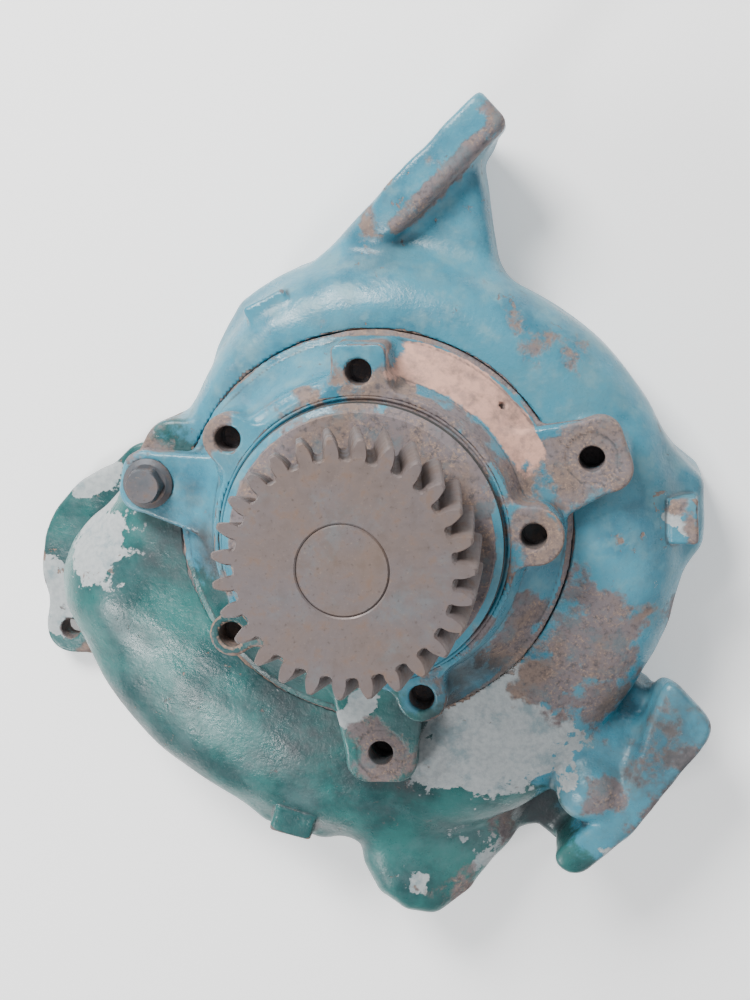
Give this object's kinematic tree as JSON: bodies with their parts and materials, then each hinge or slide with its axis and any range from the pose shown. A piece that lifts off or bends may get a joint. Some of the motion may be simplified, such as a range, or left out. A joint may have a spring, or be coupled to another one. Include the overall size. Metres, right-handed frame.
{
  "type": "gear-driven coolant circulation pump",
  "caption": "Gear-driven centrifugal coolant pump: spiral cast housing, flanged bearing housing with pilot collar, helical drive gear, two inlets and a rear outlet.",
  "frame": {"origin": "on the shaft axis, in the plane of the rear pads and the outlet flange", "axes": "+Z along the shaft towards the drive gear, +Y towards the top inlet, +X towards the side opposite the outlet"},
  "size_m": [0.3162, 0.3676, 0.15],
  "materials": {
    "casting_paint": "worn teal and blue paint over grey primer and rust",
    "steel_worn": "oxidised steel, brown",
    "steel_bright": "ground bearing steel",
    "iron_bare": "bare casting",
    "rubber": "black seal rubber",
    "brass": "plain",
    "carbon": "carbon graphite seal face",
    "ceramic": "lapped seal face",
    "gasket_fibre": "compressed fibre sheet"
  },
  "bodies": {
    "housing": {"volute_housing": "casting_paint", "bearing_housing": "casting_paint", "rear_cover": "casting_paint", "ear_bolt": "steel_worn", "rear_cover_bolt_1": "steel_worn", "rear_cover_bolt_2": "steel_worn", "rear_cover_bolt_3": "steel_worn", "rear_cover_bolt_4": "steel_worn", "rear_cover_bolt_5": "steel_worn", "rear_cover_bolt_6": "steel_worn", "rear_cover_bolt_7": "steel_worn", "rear_cover_bolt_8": "steel_worn", "bearing_circlip": "steel_bright", "rear_bearing_outer_race": "steel_bright", "front_bearing_outer_race": "steel_bright", "oil_seal_garter_spring": "steel_bright", "seal_spring": "steel_bright", "oil_lip_seal": "rubber", "seal_bellows": "rubber", "collar_o_ring": "rubber", "housing_o_ring": "rubber", "inlet_wear_ring": "brass", "seal_case": "brass", "seal_carbon_ring": "carbon", "rear_cover_gasket": "gasket_fibre"},
    "rotor": {"drive_gear": "steel_worn", "pump_shaft": "steel_worn", "impeller": "iron_bare", "impeller_key": "steel_bright", "impeller_washer": "steel_bright", "impeller_nut": "steel_bright", "bearing_spacer": "steel_bright", "rear_bearing_inner_race": "steel_bright", "front_bearing_inner_race": "steel_bright", "seal_seat_cup": "rubber", "seal_seat_ring": "ceramic"},
    "front_cage": {"front_bearing_cage": "brass", "front_bearing_roller_1": "steel_bright", "front_bearing_roller_2": "steel_bright", "front_bearing_roller_3": "steel_bright", "front_bearing_roller_4": "steel_bright", "front_bearing_roller_5": "steel_bright", "front_bearing_roller_6": "steel_bright", "front_bearing_roller_7": "steel_bright", "front_bearing_roller_8": "steel_bright", "front_bearing_roller_9": "steel_bright", "front_bearing_roller_10": "steel_bright"},
    "rear_cage": {"rear_bearing_cage": "brass", "rear_bearing_ball_1": "steel_bright", "rear_bearing_ball_2": "steel_bright", "rear_bearing_ball_3": "steel_bright", "rear_bearing_ball_4": "steel_bright", "rear_bearing_ball_5": "steel_bright", "rear_bearing_ball_6": "steel_bright", "rear_bearing_ball_7": "steel_bright", "rear_bearing_ball_8": "steel_bright"}
  },
  "joints": [
    {"name": "shaft_spin", "type": "hinge", "parent": "housing", "child": "rotor", "pos_m": [0, 0, 0], "axis": [0, 0, 1], "continuous": true},
    {"name": "front_cage_spin", "type": "hinge", "parent": "housing", "child": "front_cage", "pos_m": [0, 0, 0.0965], "axis": [0, 0, 1], "continuous": true},
    {"name": "rear_cage_spin", "type": "hinge", "parent": "housing", "child": "rear_cage", "pos_m": [0, 0, 0.0805], "axis": [0, 0, 1], "continuous": true}
  ],
  "couplings": [
    {"joint": "front_cage_spin", "follows": "shaft_spin", "ratio": 0.4474},
    {"joint": "rear_cage_spin", "follows": "shaft_spin", "ratio": 0.4153}
  ]
}
